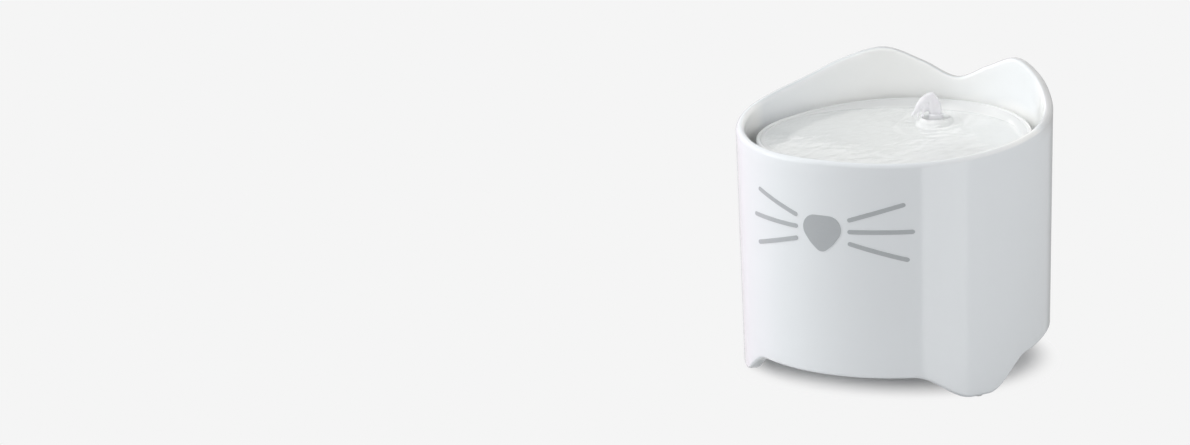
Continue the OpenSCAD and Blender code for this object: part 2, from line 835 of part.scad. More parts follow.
// Round cap with an intake grille, which pushes over the chamber
module pump_front_cover() {
    bore = chamber_r + seat_gap;
    wall_in = -cap_front + grille_t;
    guide_y = slider_half + seat_gap;
    color("darkslateblue")
    in_pump()
    difference() {
        union() {
            difference() {
                rod(cap_r, -cap_front, -cap_back);
                rod(bore, wall_in, -cap_back + 1);
            }
            for (s = [-1, 1])
                translate([wall_in - guide_root, s > 0 ? guide_y : -guide_y - guide_t, guide_z])
                    cube([guide_root + slider_t + guide_depth, guide_t, guide_h]);
        }
        translate([-cap_front - 1, -knob_half - slot_gap, knob_z - seat_gap])
            cube([grille_t + 2, 2 * (knob_half + slot_gap), slider_travel + knob_h + 2 * seat_gap]);
        for (s = [-1, 1])
            for (y = slot_ys)
                translate([-cap_front - 1, s * y - slot_half, -slot_h / 2])
                    cube([grille_t + 2, 2 * slot_half, slot_h]);
        for (z = [-level_low, level_high])
            translate([-cap_front - 1, -level_w / 2, z]) cube([grille_t + 2, level_w, 2 * slot_half]);
    }
}

// Flow control: a plate behind the grille with a knob that slides up and down
module flow_slider() {
    back = -cap_front + grille_t + slider_gap;
    color("orange")
    in_pump() {
        translate([back, -slider_half, -plate_drop]) cube([slider_t, 2 * slider_half, plate_h]);
        translate([-cap_front - knob_out, -knob_half, knob_z])
            cube([back + cap_front + knob_out + knob_root, 2 * knob_half, knob_h]);
    }
}

cup_edge_h = 1;
cup_edge_bevel = 0.5;
cup_root = 1;
cup_skin = 1;
cup_neck_h = 2;

// Suction cup under the pump; its stem is pressed into the base plate
module suction_cup(i) {
    p = cup_places[i];
    top = -block_half - base_t;
    brim_r = cup_r - cup_edge_bevel;
    color("lightgray")
    in_pump()
    translate([p[0], p[1], top])
    difference() {
        union() {
            translate([0, 0, -cup_h]) cylinder(r1 = cup_r, r2 = brim_r, h = cup_edge_h);
            translate([0, 0, cup_edge_h - cup_h])
                cylinder(r1 = brim_r, r2 = cup_stem_r + cup_root, h = cup_h - cup_edge_h);
            cylinder(r = cup_stem_r, h = cup_stem_len);
        }
        translate([0, 0, -cup_h - 0.01])
            cylinder(r1 = cup_r - cup_skin, r2 = cup_stem_r, h = cup_h - cup_neck_h);
    }
}

bowl();
foot_pad(-foot_angle);  // foot_pad_left
foot_pad(foot_angle);  // foot_pad_right
foot_pad(rear_foot);  // foot_pad_rear
nose_print();
whisker_prints();
cable_grommet();
drinking_dish();
spout_nozzle();
riser_tube();
filter_basket();
foam_disc();
carbon_filter();
pump_body();
motor_core();
motor_coil();
motor_end_cap();
cable_gland();
impeller();
rotor_magnet();
impeller_shaft();
front_bush();
rear_bush();
volute_cover();
cover_seal();
pump_front_cover();
flow_slider();
suction_cup(0);  // suction_cup_1
suction_cup(1);  // suction_cup_2
suction_cup(2);  // suction_cup_3
suction_cup(3);  // suction_cup_4
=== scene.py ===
import math

import bpy
import numpy as np
from mathutils import Matrix, Vector, noise


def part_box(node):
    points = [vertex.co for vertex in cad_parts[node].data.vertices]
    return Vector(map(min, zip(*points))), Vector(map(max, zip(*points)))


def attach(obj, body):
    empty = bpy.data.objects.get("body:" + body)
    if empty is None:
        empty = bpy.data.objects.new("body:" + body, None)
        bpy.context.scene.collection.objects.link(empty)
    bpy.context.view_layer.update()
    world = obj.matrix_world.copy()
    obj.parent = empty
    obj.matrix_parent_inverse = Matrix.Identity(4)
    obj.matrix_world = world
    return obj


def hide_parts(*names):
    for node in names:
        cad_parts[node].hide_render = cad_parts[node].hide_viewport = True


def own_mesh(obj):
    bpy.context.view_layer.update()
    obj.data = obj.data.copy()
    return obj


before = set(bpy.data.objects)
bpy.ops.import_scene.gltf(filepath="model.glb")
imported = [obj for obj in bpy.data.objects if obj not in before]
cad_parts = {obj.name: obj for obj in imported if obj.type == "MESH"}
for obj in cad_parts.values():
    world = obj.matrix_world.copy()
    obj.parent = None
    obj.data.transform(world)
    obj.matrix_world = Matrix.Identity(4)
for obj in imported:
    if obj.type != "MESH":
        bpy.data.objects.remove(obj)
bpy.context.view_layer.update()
MM = 0.001
# Vector noise takes its offsets from the clock, unless it is given a seed.
NOISE_SEED = 1
noise.seed_set(NOISE_SEED)

# ---------------------------------------------------------------- bowl
# The bowl is slip-cast stoneware under a thick white glaze: one shell with a
# rolled rim that rises into two ears at the back, a floor inside and a skirt
# that ends in three soft feet.  Its heights follow from the angle a, which is
# 0 at the front and 180 between the ears.
FRONT_H = 145 * MM
EAR_H = 175 * MM
DIP_H = 157.6 * MM
BOWL_R = 95 * MM
REF_H = 142.5 * MM
DRAFT = 0.013
WALL = 5.5 * MM
FLOOR_H = 30 * MM
UNDER_H = 25 * MM
CORNER_R = 8 * MM
SKIRT_T = 8 * MM
EDGE_R = 2 * MM
FOOT_ANGLE = 57.5
FOOT_H = 0.6 * MM
FRONT_ARCH_H = 16 * MM
SIDE_ARCH_H = 22 * MM
LUG_H = 129.7 * MM
LUG_REACH = 12 * MM
LUG_PLAY = 0.4 * MM
DIP_SHARE = (DIP_H - FRONT_H) / (EAR_H - FRONT_H)
RIM_KNOTS = [(0, 0), (32, 0), (60, 0.087), (80, 0.194), (100, 0.32), (118, 0.507), (135, 0.815),
             (151, 1), (166, 0.72), (180, DIP_SHARE)]


def ease(x, low, high):
    """0 below low, 1 above high, and a smooth S between them."""
    t = min(max((x - low) / (high - low), 0), 1)
    return (1 - math.cos(math.pi * t)) / 2


def knot_slope(i):
    if i in (0, len(RIM_KNOTS) - 1):
        return 0
    (x0, y0), (x1, y1) = RIM_KNOTS[i - 1], RIM_KNOTS[i + 1]
    return (y1 - y0) / (x1 - x0)


def rim_height(a):
    """Height of the rim, on a smooth curve through its knots."""
    i = max(k for k in range(len(RIM_KNOTS) - 1) if RIM_KNOTS[k][0] <= a)
    (x0, y0), (x1, y1) = RIM_KNOTS[i], RIM_KNOTS[i + 1]
    w = x1 - x0
    t = (a - x0) / w
    share = (y0 * (2 * t**3 - 3 * t**2 + 1) + knot_slope(i) * w * (t**3 - 2 * t**2 + t)
             + y1 * (3 * t**2 - 2 * t**3) + knot_slope(i + 1) * w * (t**3 - t**2))
    return FRONT_H + (EAR_H - FRONT_H) * share


def edge_height(a):
    """Height of the skirt's lower edge: three feet, with arches between them."""
    d = abs(a - FOOT_ANGLE)
    if a < FOOT_ANGLE:
        return FOOT_H + (FRONT_ARCH_H - FOOT_H) * ease(d, 3.5, 26.5)
    d = min(d, 180 - a)
    return FOOT_H + (SIDE_ARCH_H - FOOT_H) * (0.82 * ease(d, 3.5, 23.5) + 0.18 * ease(d, 14, 50))


def lug_reach(a):
    """How far the wall stands in to carry the dish: three lugs, 120 degrees apart."""
    nearest = min(abs(a), abs(a - 120))
    return LUG_PLAY + (LUG_REACH - LUG_PLAY) * (1 - ease(nearest, 5, 9))


def from_front(x, y):
    return abs(math.degrees(math.atan2(x, -y)))


def start_ring(name, radius, z, steps):
    """A circle in edit mode, ready to be extruded ring by ring."""
    bpy.ops.object.select_all(action="DESELECT")
    bpy.ops.mesh.primitive_circle_add(vertices=steps, radius=radius, location=(0, 0, z))
    piece = bpy.context.object
    piece.name = piece.data.name = name
    bpy.ops.object.transform_apply(location=True)
    bpy.ops.object.mode_set(mode="EDIT")
    bpy.ops.mesh.select_all(action="SELECT")
    return piece


def extrude_rings(profile):
    """Extrudes the selected ring through the profile's (radius, height) points."""
    for (r0, z0), (r1, z1) in zip(profile, profile[1:]):
        bpy.ops.mesh.extrude_region_move(TRANSFORM_OT_translate={"value": (0, 0, z1 - z0)})
        bpy.ops.transform.resize(value=(r1 / r0, r1 / r0, 1), center_override=(0, 0, z1))


def arc(cr, cz, r, a0, a1, n):
    angles = [math.radians(a0 + (a1 - a0) * i / n) for i in range(n + 1)]
    return [(cr + r * math.cos(b), cz + r * math.sin(b)) for b in angles]


def edit_only(piece):
    """Puts one piece into edit mode, with no other object selected."""
    bpy.ops.object.select_all(action="DESELECT")
    piece.select_set(True)
    bpy.context.view_layer.objects.active = piece
    bpy.ops.object.mode_set(mode="EDIT")


def close_rings(piece):
    """Joins the first and last rings of a piece, so that it is a closed solid."""
    edit_only(piece)
    bpy.ops.mesh.select_mode(type="EDGE")
    bpy.ops.mesh.select_all(action="DESELECT")
    bpy.ops.mesh.select_non_manifold(extend=False, use_boundary=True, use_wire=False, use_multi_face=False,
                                     use_non_contiguous=False, use_verts=False)
    bpy.ops.mesh.bridge_edge_loops()
    bpy.ops.object.mode_set(mode="OBJECT")


def finish_mesh(piece, angle):
    """Merges doubles, turns the faces outwards and shades the piece smooth."""
    edit_only(piece)
    bpy.ops.mesh.select_all(action="SELECT")
    bpy.ops.mesh.remove_doubles(threshold=1e-6)
    bpy.ops.mesh.normals_make_consistent(inside=False)
    bpy.ops.object.mode_set(mode="OBJECT")
    bpy.ops.object.shade_smooth_by_angle(angle=math.radians(angle))


def wall_r(z):
    return BOWL_R - DRAFT * (REF_H - z)


def line(p, q, n):
    """n points from p towards q, without p."""
    return [(p[0] + (q[0] - p[0]) * i / n, p[1] + (q[1] - p[1]) * i / n) for i in range(1, n + 1)]


BOWL_STEPS = 288
half_wall = WALL / 2
skirt_in = wall_r(UNDER_H) - SKIRT_T
floor_arc = arc(wall_r(FLOOR_H + CORNER_R) - WALL - CORNER_R, FLOOR_H + CORNER_R, CORNER_R, -90, 0, 8)
rim_arc = arc(wall_r(FRONT_H - half_wall) - half_wall, FRONT_H - half_wall, half_wall, 180, 0, 16)
outer_arc = arc(wall_r(FOOT_H + EDGE_R) - EDGE_R, FOOT_H + EDGE_R, EDGE_R, 0, -90, 6)
inner_arc = arc(skirt_in + EDGE_R, FOOT_H + EDGE_R, EDGE_R, -90, -180, 6)
lug_low = (wall_r(LUG_H) - WALL, LUG_H - 24 * MM)
profile = [(2 * MM, FLOOR_H)] + line((2 * MM, FLOOR_H), floor_arc[0], 8) + floor_arc[1:]
profile += line(floor_arc[-1], lug_low, 5)
profile += line(lug_low, (lug_low[0], LUG_H - 4 * MM), 3)
profile += line((lug_low[0], LUG_H - 4 * MM), (lug_low[0], LUG_H - 0.6 * MM), 2)
profile += [(lug_low[0], LUG_H)]
profile += line((lug_low[0], LUG_H), rim_arc[0], 6) + rim_arc[1:]
profile += line(rim_arc[-1], outer_arc[0], 22) + outer_arc[1:]
profile += line(outer_arc[-1], inner_arc[0], 2) + inner_arc[1:]
profile += line(inner_arc[-1], (skirt_in, UNDER_H - 1 * MM), 3) + [(skirt_in - 1 * MM, UNDER_H)]
profile += line((skirt_in - 1 * MM, UNDER_H), (2 * MM, UNDER_H), 8)

bowl = start_ring("bowl_shell", profile[0][0], profile[0][1], BOWL_STEPS)
bpy.ops.mesh.edge_face_add()
bpy.ops.mesh.select_all(action="SELECT")
bpy.ops.mesh.delete(type="ONLY_FACE")
bpy.ops.mesh.select_all(action="SELECT")
extrude_rings(profile)
bpy.ops.mesh.edge_face_add()
bpy.ops.object.mode_set(mode="OBJECT")

# The plain pot is drawn up into the rim's wave and down into the feet.
rim_zone = (LUG_H + 1 * MM, FRONT_H - half_wall)
for v in bowl.data.vertices:
    x, y, z = v.co
    r = math.hypot(x, y)
    if r < 3 * MM:
        continue
    a = from_front(x, y)
    inside = r < wall_r(z) - WALL + 0.5 * MM and z > FLOOR_H
    under = r < skirt_in + 0.1 * MM and z <= UNDER_H
    low = rim_zone[0] if inside else 30 * MM
    up = (rim_height(a) - FRONT_H) * min(max((z - low) / (rim_zone[1] - low), 0), 1)
    foot_top = FOOT_H + EDGE_R
    span = (UNDER_H - 1 * MM if under else 100 * MM) - foot_top
    down = 0
    if r > skirt_in - 0.1 * MM and not inside:
        down = (edge_height(a) - FOOT_H) * min(max(1 - (z - foot_top) / span, 0), 1)
    reach = 0
    if inside and abs(r - lug_low[0]) < 0.3 * MM and LUG_H - 5 * MM < z < LUG_H - 0.1 * MM:
        reach = lug_reach(a)
    if inside and lug_low[1] + 0.5 * MM < z < LUG_H - 5 * MM:
        reach = lug_reach(a) * (z - lug_low[1]) / (20 * MM)
    new_r = r - reach + (0 if under else DRAFT * (up + down))
    v.co = (x * new_r / r, y * new_r / r, z + up + down)
finish_mesh(bowl, 50)


def paint(piece, value):
    """Gives each vertex of a piece a value from its x, y and z: the light and shade painted into its glaze.
    """
    layer = piece.data.attributes.new("glaze", "FLOAT", "POINT")
    layer.data.foreach_set("value", [float(value(*v.co)) for v in piece.data.vertices])


class Wire:
    """A socket of a finish's nodes, on which sums add Math nodes."""

    def __init__(self, finish, socket):
        self.finish, self.socket = finish, socket

    def __add__(self, other):
        return self.finish.math("ADD", self, other)

    def __sub__(self, other):
        return self.finish.math("SUBTRACT", self, other)

    def __rsub__(self, other):
        return self.finish.math("SUBTRACT", other, self)

    def __mul__(self, other):
        return self.finish.math("MULTIPLY", self, other)

    __radd__, __rmul__ = __add__, __mul__


class Finish:
    """A material, built node by node around its Principled shader."""

    def __init__(self, name, **plain):
        self.material = bpy.data.materials.new(name)
        self.material.use_nodes = True
        self.tree = self.material.node_tree
        self.shader = self.tree.nodes["Principled BSDF"]
        self.out = self.tree.nodes["Material Output"]
        for socket, value in plain.items():
            self.shader.inputs[socket.replace("_", " ")].default_value = value
        self.place = self.node("ShaderNodeTexCoord", output="Object")

    def node(self, kind, settings=(), sockets=(), output=0):
        """Adds a node, sets its settings and then its sockets, and returns one of its outputs."""
        made = self.tree.nodes.new(kind)
        for key, value in dict(settings).items():
            setattr(made, key, value)
        for key, value in dict(sockets).items():
            if isinstance(value, Wire):
                self.tree.links.new(value.socket, made.inputs[key])
            else:
                made.inputs[key].default_value = value
        return Wire(self, made.outputs[output])

    def math(self, operation, *values):
        return self.node("ShaderNodeMath", {"operation": operation}, dict(enumerate(values)))

    def noise(self, scale, detail=2, rough=0.5, place=None):
        sockets = {"Vector": place or self.place, "Scale": scale, "Detail": detail, "Roughness": rough}
        return self.node("ShaderNodeTexNoise", (), sockets)

    def mix(self, factor, one, two):
        """Mixes two colours, and goes on past them where the factor is below 0 or above 1."""
        sockets = {"Factor": factor, 6: one, 7: two}
        return self.node("ShaderNodeMix", {"data_type": "RGBA", "clamp_factor": False}, sockets, output=2)

    def voronoi(self, scale):
        sockets = {"Vector": self.place, "Scale": scale}
        return self.node("ShaderNodeTexVoronoi", (), sockets, output="Distance")

    def painted(self, name):
        """A value that the mesh carries from vertex to vertex."""
        return self.node("ShaderNodeAttribute", {"attribute_name": name}, output="Fac")

    def speckle(self, scale, one, two, detail=3):
        """Colours the surface between two colours, and returns the pattern."""
        pattern = self.noise(scale, detail)
        self.wire("Base Color", self.mix(pattern, (*one, 1), (*two, 1)))
        return pattern

    def wire(self, socket, value):
        self.tree.links.new(value.socket, self.shader.inputs[socket])

    def bump(self, height, distance, strength=1.0):
        sockets = {"Height": height, "Distance": distance, "Strength": strength}
        self.wire("Normal", self.node("ShaderNodeBump", (), sockets))

    def on(self, *pieces):
        for piece in pieces:
            piece.data.materials.clear()
            piece.data.materials.append(self.material)


def glaze(name, tone, shade, above, below):
    """White glaze: a faint mottle, a slow roll in the gloss and a very fine skin.

    Where the mesh's painted value is 1 it has the colour above, and at -1 the
    colour below; with these two colours light and shade are painted into the glaze."""
    finish = Finish(name, Roughness=0.1, IOR=1.5, Coat_Weight=0.0)
    mottle = finish.noise(38, 3, 0.55)
    pool = finish.noise(11, 1, 0.4)
    mottled = finish.mix(mottle * 0.6 + pool * 0.4, tone, shade)
    # The painted value that carries painted light and shade into the glaze's colour.
    value = finish.painted("glaze")
    lower = finish.mix(finish.math("MAXIMUM", 0 - value, 0), mottled, below)
    finish.wire("Base Color", finish.mix(finish.math("MAXIMUM", value, 0), lower, above))
    finish.wire("Roughness", pool * 0.05 + 0.075)
    skin = finish.noise(60, 2, 0.5) * 0.7 + finish.noise(420, 1, 0.5) * 0.3
    finish.bump(skin, 0.12 * MM, 0.25)
    return finish


# The bowl's own glaze tone and mottle, then a whiter colour for painted light and a grey one for painted
# shade.
white_glaze = glaze("white glaze", (0.795, 0.825, 0.85, 1), (0.78, 0.812, 0.838, 1),
                    (0.978, 0.985, 0.972, 1), (0.64, 0.645, 0.65, 1))
white_glaze.on(bowl)


# The turn at which painted light inside the wall is strongest, how far it spreads, and the turn at the left
# where the rim's roll is painted lighter.
LIT_WALL_TURN, LIT_WALL_SPREAD = -157, 40
LIT_LEFT_END_TURN = -74


def bowl_painted_light(x, y, z):
    """Painted light and shade in the bowl's glaze: whiter inside the wall and along the rim at the right,
    and greyer along a line.

    Inside, the painted light is whitest around the ear at the left, low down just above the dish where
    shade fell, and towards the front on both sides.  A line of painted shade runs along the back of the rim
    and down the flank of the ear at the right."""
    if z < FLOOR_H:
        return 0
    around = math.degrees(math.atan2(x, -y))
    depth = wall_r(z) - half_wall - math.hypot(x, y)
    under_rim = z - rim_height(abs(around))
    inside = ease(depth, -0.5 * MM, 1.5 * MM)
    ear = ease(around, 86, 102) * (1 - ease(around, 146, 162))
    # Painted shade: a line along the back of the rim, and the flank of the ear at the right.
    line = ease(under_rim, -1.8 * MM, -0.6 * MM) * (1 - ease(depth, 1 * MM, 2.2 * MM))
    line *= 0.4 * ease(abs(around), 84, 105) + 0.7 * max(ear, ease(abs(around), 135, 160))
    shaded_flank = ear * (1 - ease(depth, -1.2 * MM, 0.2 * MM)) * ease(under_rim, -9 * MM, -3 * MM)
    rim_shade = max(line, 0.95 * shaded_flank)
    # Painted light inside the wall, strongest around the given turn and low down just above the dish.
    past_back = ((around - LIT_WALL_TURN + 180) % 360 - 180) / LIT_WALL_SPREAD
    low = (1 - ease(z, 142 * MM, 150 * MM)) * (1 - ease(around % 360, 225, 255))
    # Painted light on the rim's crest at the right and on its roll at both ends.
    lit_crest = ease(under_rim, -2.6 * MM, -1.4 * MM) * ease(around, 25, 60) * (1 - ease(around, 85, 105))
    lit_crest *= 0.55 + 0.45 * ease(around, 62, 78)
    lit_right_end = ease(around, 94, 108) * (1 - ease(around, 118, 142))
    lit_left_end = 1 - ease(abs(around - LIT_LEFT_END_TURN), 8, 24)
    turned = max(lit_right_end * inside, lit_left_end * ease(depth, 0.3 * MM, 1.6 * MM))
    white = max(inside * (0.25 + 0.75 * max(math.exp(-past_back ** 2), low)), lit_crest, turned)
    return white * (1 - min(rim_shade * 2, 1)) - rim_shade


# The bowl's glaze value carries its painted light and shade.
paint(bowl, bowl_painted_light)
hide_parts("bowl")
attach(bowl, "bowl")

# ---------------------------------------------------------------- face print
# A nose and six whiskers are printed on the front in grey and fired under a
# thin clear glaze, so they are as smooth as the wall around them.
print_grey = Finish("grey print", Roughness=0.16)
speckle = print_grey.noise(900, 2, 0.6)
print_grey.wire("Base Color", print_grey.mix(speckle, (0.42, 0.443, 0.462, 1), (0.455, 0.478, 0.497, 1)))
print_grey.wire("Roughness", print_grey.noise(120) * 0.06 + 0.13)
print_grey.on(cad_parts["nose_print"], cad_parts["whisker_prints"])

# ---------------------------------------------------------------- foot pads
# Frosted silicone discs pressed into the feet keep the pot from sliding.
silicone = Finish("frosted silicone", Roughness=0.5, Subsurface_Weight=0.0)
cloud = silicone.noise(400, 3)
silicone.wire("Base Color", silicone.mix(cloud, (0.62, 0.63, 0.63, 1), (0.7, 0.71, 0.71, 1)))
silicone.bump(silicone.noise(900, 2), 0.1 * MM, 0.3)
silicone.on(*[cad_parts[f"foot_pad_{side}"] for side in ("left", "right", "rear")])

# ---------------------------------------------------------------- cable grommet
# Black rubber, moulded with a slight grain.
rubber = Finish("black rubber", Roughness=0.6, Specular_IOR_Level=0.35)
grain = rubber.speckle(420, (0.016, 0.016, 0.017), (0.035, 0.035, 0.037))
rubber.wire("Roughness", grain * 0.22 + 0.48)
rubber.bump(rubber.noise(1500, 3), 0.06 * MM, 0.45)
rubber.on(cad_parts["cable_grommet"])

# ---------------------------------------------------------------- spout nozzle
# A turned ring of clear-frosted plastic with fine tool lines around it.
nozzle_plastic = Finish("nozzle plastic", Roughness=0.22, Coat_Weight=0.35, Coat_Roughness=0.1)
nozzle_plastic.speckle(260, (0.84, 0.84, 0.87), (0.9, 0.9, 0.925))
lines = nozzle_plastic.node("ShaderNodeTexWave", {"bands_direction": "Z"},
                            {"Vector": nozzle_plastic.place, "Scale": 900, "Distortion": 0.4})
nozzle_plastic.wire("Roughness", lines * 0.1 + 0.16)
nozzle_plastic.bump(lines, 0.02 * MM, 0.3)
nozzle_plastic.on(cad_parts["spout_nozzle"])

# ---------------------------------------------------------------- riser tube
# Soft silicone, milky with a faint cloud and a dull skin.
riser_silicone = Finish("riser silicone", Roughness=0.45, Subsurface_Weight=0.15,
                        Subsurface_Radius=(4 * MM, 4 * MM, 4 * MM))
cloud = riser_silicone.speckle(140, (0.72, 0.74, 0.74), (0.8, 0.82, 0.82))
riser_silicone.wire("Roughness", cloud * 0.16 + 0.38)
riser_silicone.bump(riser_silicone.noise(700, 3), 0.08 * MM, 0.3)
riser_silicone.on(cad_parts["riser_tube"])

# ---------------------------------------------------------------- filter basket
# Off-white polypropylene with a fine spark-eroded grain.
basket_plastic = Finish("basket plastic", Roughness=0.42)
basket_plastic.speckle(90, (0.78, 0.79, 0.78), (0.84, 0.85, 0.84))
pits = basket_plastic.voronoi(1300)
basket_plastic.wire("Roughness", pits * 0.3 + 0.32)
basket_plastic.bump(pits, 0.05 * MM, 0.35)
basket_plastic.on(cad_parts["filter_basket"])

# ---------------------------------------------------------------- foam disc
# Open-celled grey foam: dark pores between pale cell walls.
foam = Finish("filter foam", Roughness=0.95, Specular_IOR_Level=0.1)
pores = foam.voronoi(850)
wall_tone = foam.mix(pores, (0.015, 0.015, 0.016, 1), (0.15, 0.155, 0.16, 1))
foam.wire("Base Color", foam.mix(foam.noise(60) * 0.4, wall_tone, (0.07, 0.072, 0.07, 1)))
foam.bump(pores + foam.noise(1900, 3) * 0.3, 0.6 * MM, 0.8)
foam.on(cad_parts["foam_disc"])

# ---------------------------------------------------------------- carbon filter
# Charcoal granules behind white non-woven cloth, with fibres over them.
carbon = Finish("carbon filter", Roughness=0.9, Specular_IOR_Level=0.2)
granules = carbon.voronoi(420)
fibres = carbon.noise(1100, 6, 0.75)
cloth = carbon.mix(fibres, (0.42, 0.43, 0.43, 1), (0.66, 0.67, 0.66, 1))
carbon.wire("Base Color", carbon.mix(granules * 0.9, (0.06, 0.06, 0.062, 1), cloth))
carbon.bump(granules * 0.6 + fibres * 0.4, 0.4 * MM, 0.7)
carbon.on(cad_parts["carbon_filter"])

# ---------------------------------------------------------------- pump housing
# Dark moulded plastic with a fine grain.  The body, its end cap, the plate over
# the impeller and the front cover share it, each in a slightly different tone.
def moulded(name, one, two, grain_scale):
    finish = Finish(name, Roughness=0.38)
    finish.speckle(75, one, two)
    grain = finish.voronoi(grain_scale)
    wear = finish.noise(30, 4, 0.65)
    finish.wire("Roughness", grain * 0.18 + wear * 0.18 + 0.25)
    finish.bump(grain + wear * 0.3, 0.04 * MM, 0.4)
    return finish


moulded("pump plastic", (0.03, 0.036, 0.05), (0.042, 0.05, 0.067), 1500).on(
    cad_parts["pump_body"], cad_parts["motor_end_cap"])
moulded("volute plastic", (0.12, 0.125, 0.135), (0.15, 0.155, 0.165), 1200).on(
    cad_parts["volute_cover"])
moulded("cover plastic", (0.026, 0.031, 0.044), (0.038, 0.045, 0.06), 1100).on(
    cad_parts["pump_front_cover"])

# ---------------------------------------------------------------- flow slider
# A small sliding plate of bright plastic, so that its knob is easy to find.
moulded("slider plastic", (0.62, 0.2, 0.03), (0.7, 0.25, 0.045), 1300).on(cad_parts["flow_slider"])

# ---------------------------------------------------------------- motor core
# Stacked steel sheets: bright edges with dark varnish between them.
steel = Finish("laminated steel", Metallic=1.0, Roughness=0.4)
sheets = steel.node("ShaderNodeTexWave", {"bands_direction": "Z", "wave_profile": "SAW"},
                    {"Vector": steel.place, "Scale": 320, "Distortion": 0.15})
steel.wire("Base Color", steel.mix(sheets, (0.2, 0.19, 0.18, 1), (0.55, 0.55, 0.56, 1)))
steel.wire("Roughness", steel.noise(300, 4) * 0.35 + 0.25)
steel.bump(sheets, 0.12 * MM, 0.6)
steel.on(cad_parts["motor_core"])

# ---------------------------------------------------------------- motor coil
# Enamelled copper wire wound turn by turn.
copper = Finish("enamelled copper", Metallic=1.0, Roughness=0.25, Coat_Weight=0.6, Coat_Roughness=0.12)
turns = copper.node("ShaderNodeTexWave", {"bands_direction": "Y"},
                    {"Vector": copper.place, "Scale": 480, "Distortion": 0.6, "Detail": 1})
copper.wire("Base Color", copper.mix(turns, (0.3, 0.09, 0.035, 1), (0.72, 0.3, 0.14, 1)))
copper.wire("Roughness", copper.noise(500) * 0.2 + 0.2)
copper.bump(turns, 0.25 * MM, 0.8)
copper.on(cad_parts["motor_coil"])

# ---------------------------------------------------------------- seals, bushes and gland
# Softer, blacker rubber than the grommet's, slightly oily.
seal_rubber = Finish("seal rubber", Roughness=0.4, Specular_IOR_Level=0.5)
oil = seal_rubber.speckle(240, (0.012, 0.012, 0.013), (0.028, 0.027, 0.028))
seal_rubber.wire("Roughness", oil * 0.35 + 0.22)
seal_rubber.bump(seal_rubber.noise(1200, 3), 0.04 * MM, 0.35)
seal_rubber.on(*[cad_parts[name] for name in ("cover_seal", "front_bush", "rear_bush", "cable_gland")])

# ---------------------------------------------------------------- impeller
# White acetal, satin, with a trace of flow lines from the mould.
acetal = Finish("white acetal", Roughness=0.3)
flow = acetal.noise(90, 5, 0.6)
acetal.wire("Base Color", acetal.mix(flow, (0.76, 0.77, 0.76, 1), (0.84, 0.84, 0.83, 1)))
acetal.wire("Roughness", flow * 0.25 + 0.2)
acetal.bump(flow, 0.05 * MM, 0.3)
acetal.on(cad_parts["impeller"])

# ---------------------------------------------------------------- rotor magnet
# Sintered ferrite: charcoal grey, ground round, with tiny crystals.
ferrite = Finish("ferrite", Roughness=0.5, Metallic=0.35)
crystals = ferrite.voronoi(1600)
ferrite.wire("Base Color", ferrite.mix(crystals, (0.05, 0.05, 0.053, 1), (0.13, 0.13, 0.135, 1)))
ferrite.wire("Roughness", ferrite.noise(400, 4) * 0.3 + 0.35)
ferrite.bump(crystals, 0.05 * MM, 0.4)
ferrite.on(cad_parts["rotor_magnet"])

# ---------------------------------------------------------------- impeller shaft
# Polished ivory ceramic with fine grinding rings along it.
ceramic = Finish("shaft ceramic", Roughness=0.12, Coat_Weight=0.2)
ceramic.speckle(500, (0.8, 0.77, 0.68), (0.86, 0.83, 0.75))
grinding = ceramic.node("ShaderNodeTexWave", {"bands_direction": "Y"},
                        {"Vector": ceramic.place, "Scale": 1400, "Distortion": 0.5})
ceramic.wire("Roughness", grinding * 0.12 + 0.08)
ceramic.bump(grinding, 0.01 * MM, 0.3)
ceramic.on(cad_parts["impeller_shaft"])

# ---------------------------------------------------------------- suction cups
# Clear-grey silicone cups, a little tacky.
cup_silicone = Finish("cup silicone", Roughness=0.3, Subsurface_Weight=0.1,
                      Subsurface_Radius=(3 * MM, 3 * MM, 3 * MM))
haze = cup_silicone.speckle(200, (0.5, 0.52, 0.53), (0.6, 0.62, 0.63))
cup_silicone.wire("Roughness", haze * 0.25 + 0.2)
cup_silicone.bump(cup_silicone.noise(800, 3), 0.06 * MM, 0.3)
cup_silicone.on(*[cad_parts[f"suction_cup_{k}"] for k in range(1, 5)])

# ---------------------------------------------------------------- drinking dish
# The dish is glazed like the bowl.  It is a shallow oval saucer whose rim
# rises a little at the back, with a raised hole for the spout and a collar
# below it that leads the water down into the filter.
_, dish_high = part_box("drinking_dish")
DISH_RX, DISH_RY = dish_high.x, dish_high.y
DISH_RIM_H = 140.8 * MM
DISH_BACK_RISE = 3.2 * MM
DISH_LOW_H = 132 * MM
DISH_T = 3.2 * MM
LIP_H = 138.1 * MM
SPOUT_Y = 60 * MM
SPOUT = Vector((0, SPOUT_Y, 0))
HOLE_R = 8 * MM
COLLAR_T = 2 * MM
COLLAR_END_H = LIP_H - 17 * MM
DISH_CURVE, DISH_BACK_CURVE = 1.6, 4
DISH_STEPS = 240
DISH_FLOOR_RINGS = 64


def dish_r(angle):
    """Radius of the dish's outline at an angle from +X."""
    return DISH_RX * DISH_RY / math.hypot(DISH_RY * math.cos(angle), DISH_RX * math.sin(angle))


def dish_rim(x, y):
    return DISH_RIM_H + DISH_BACK_RISE * ease(from_front(x, y), 95, 165)


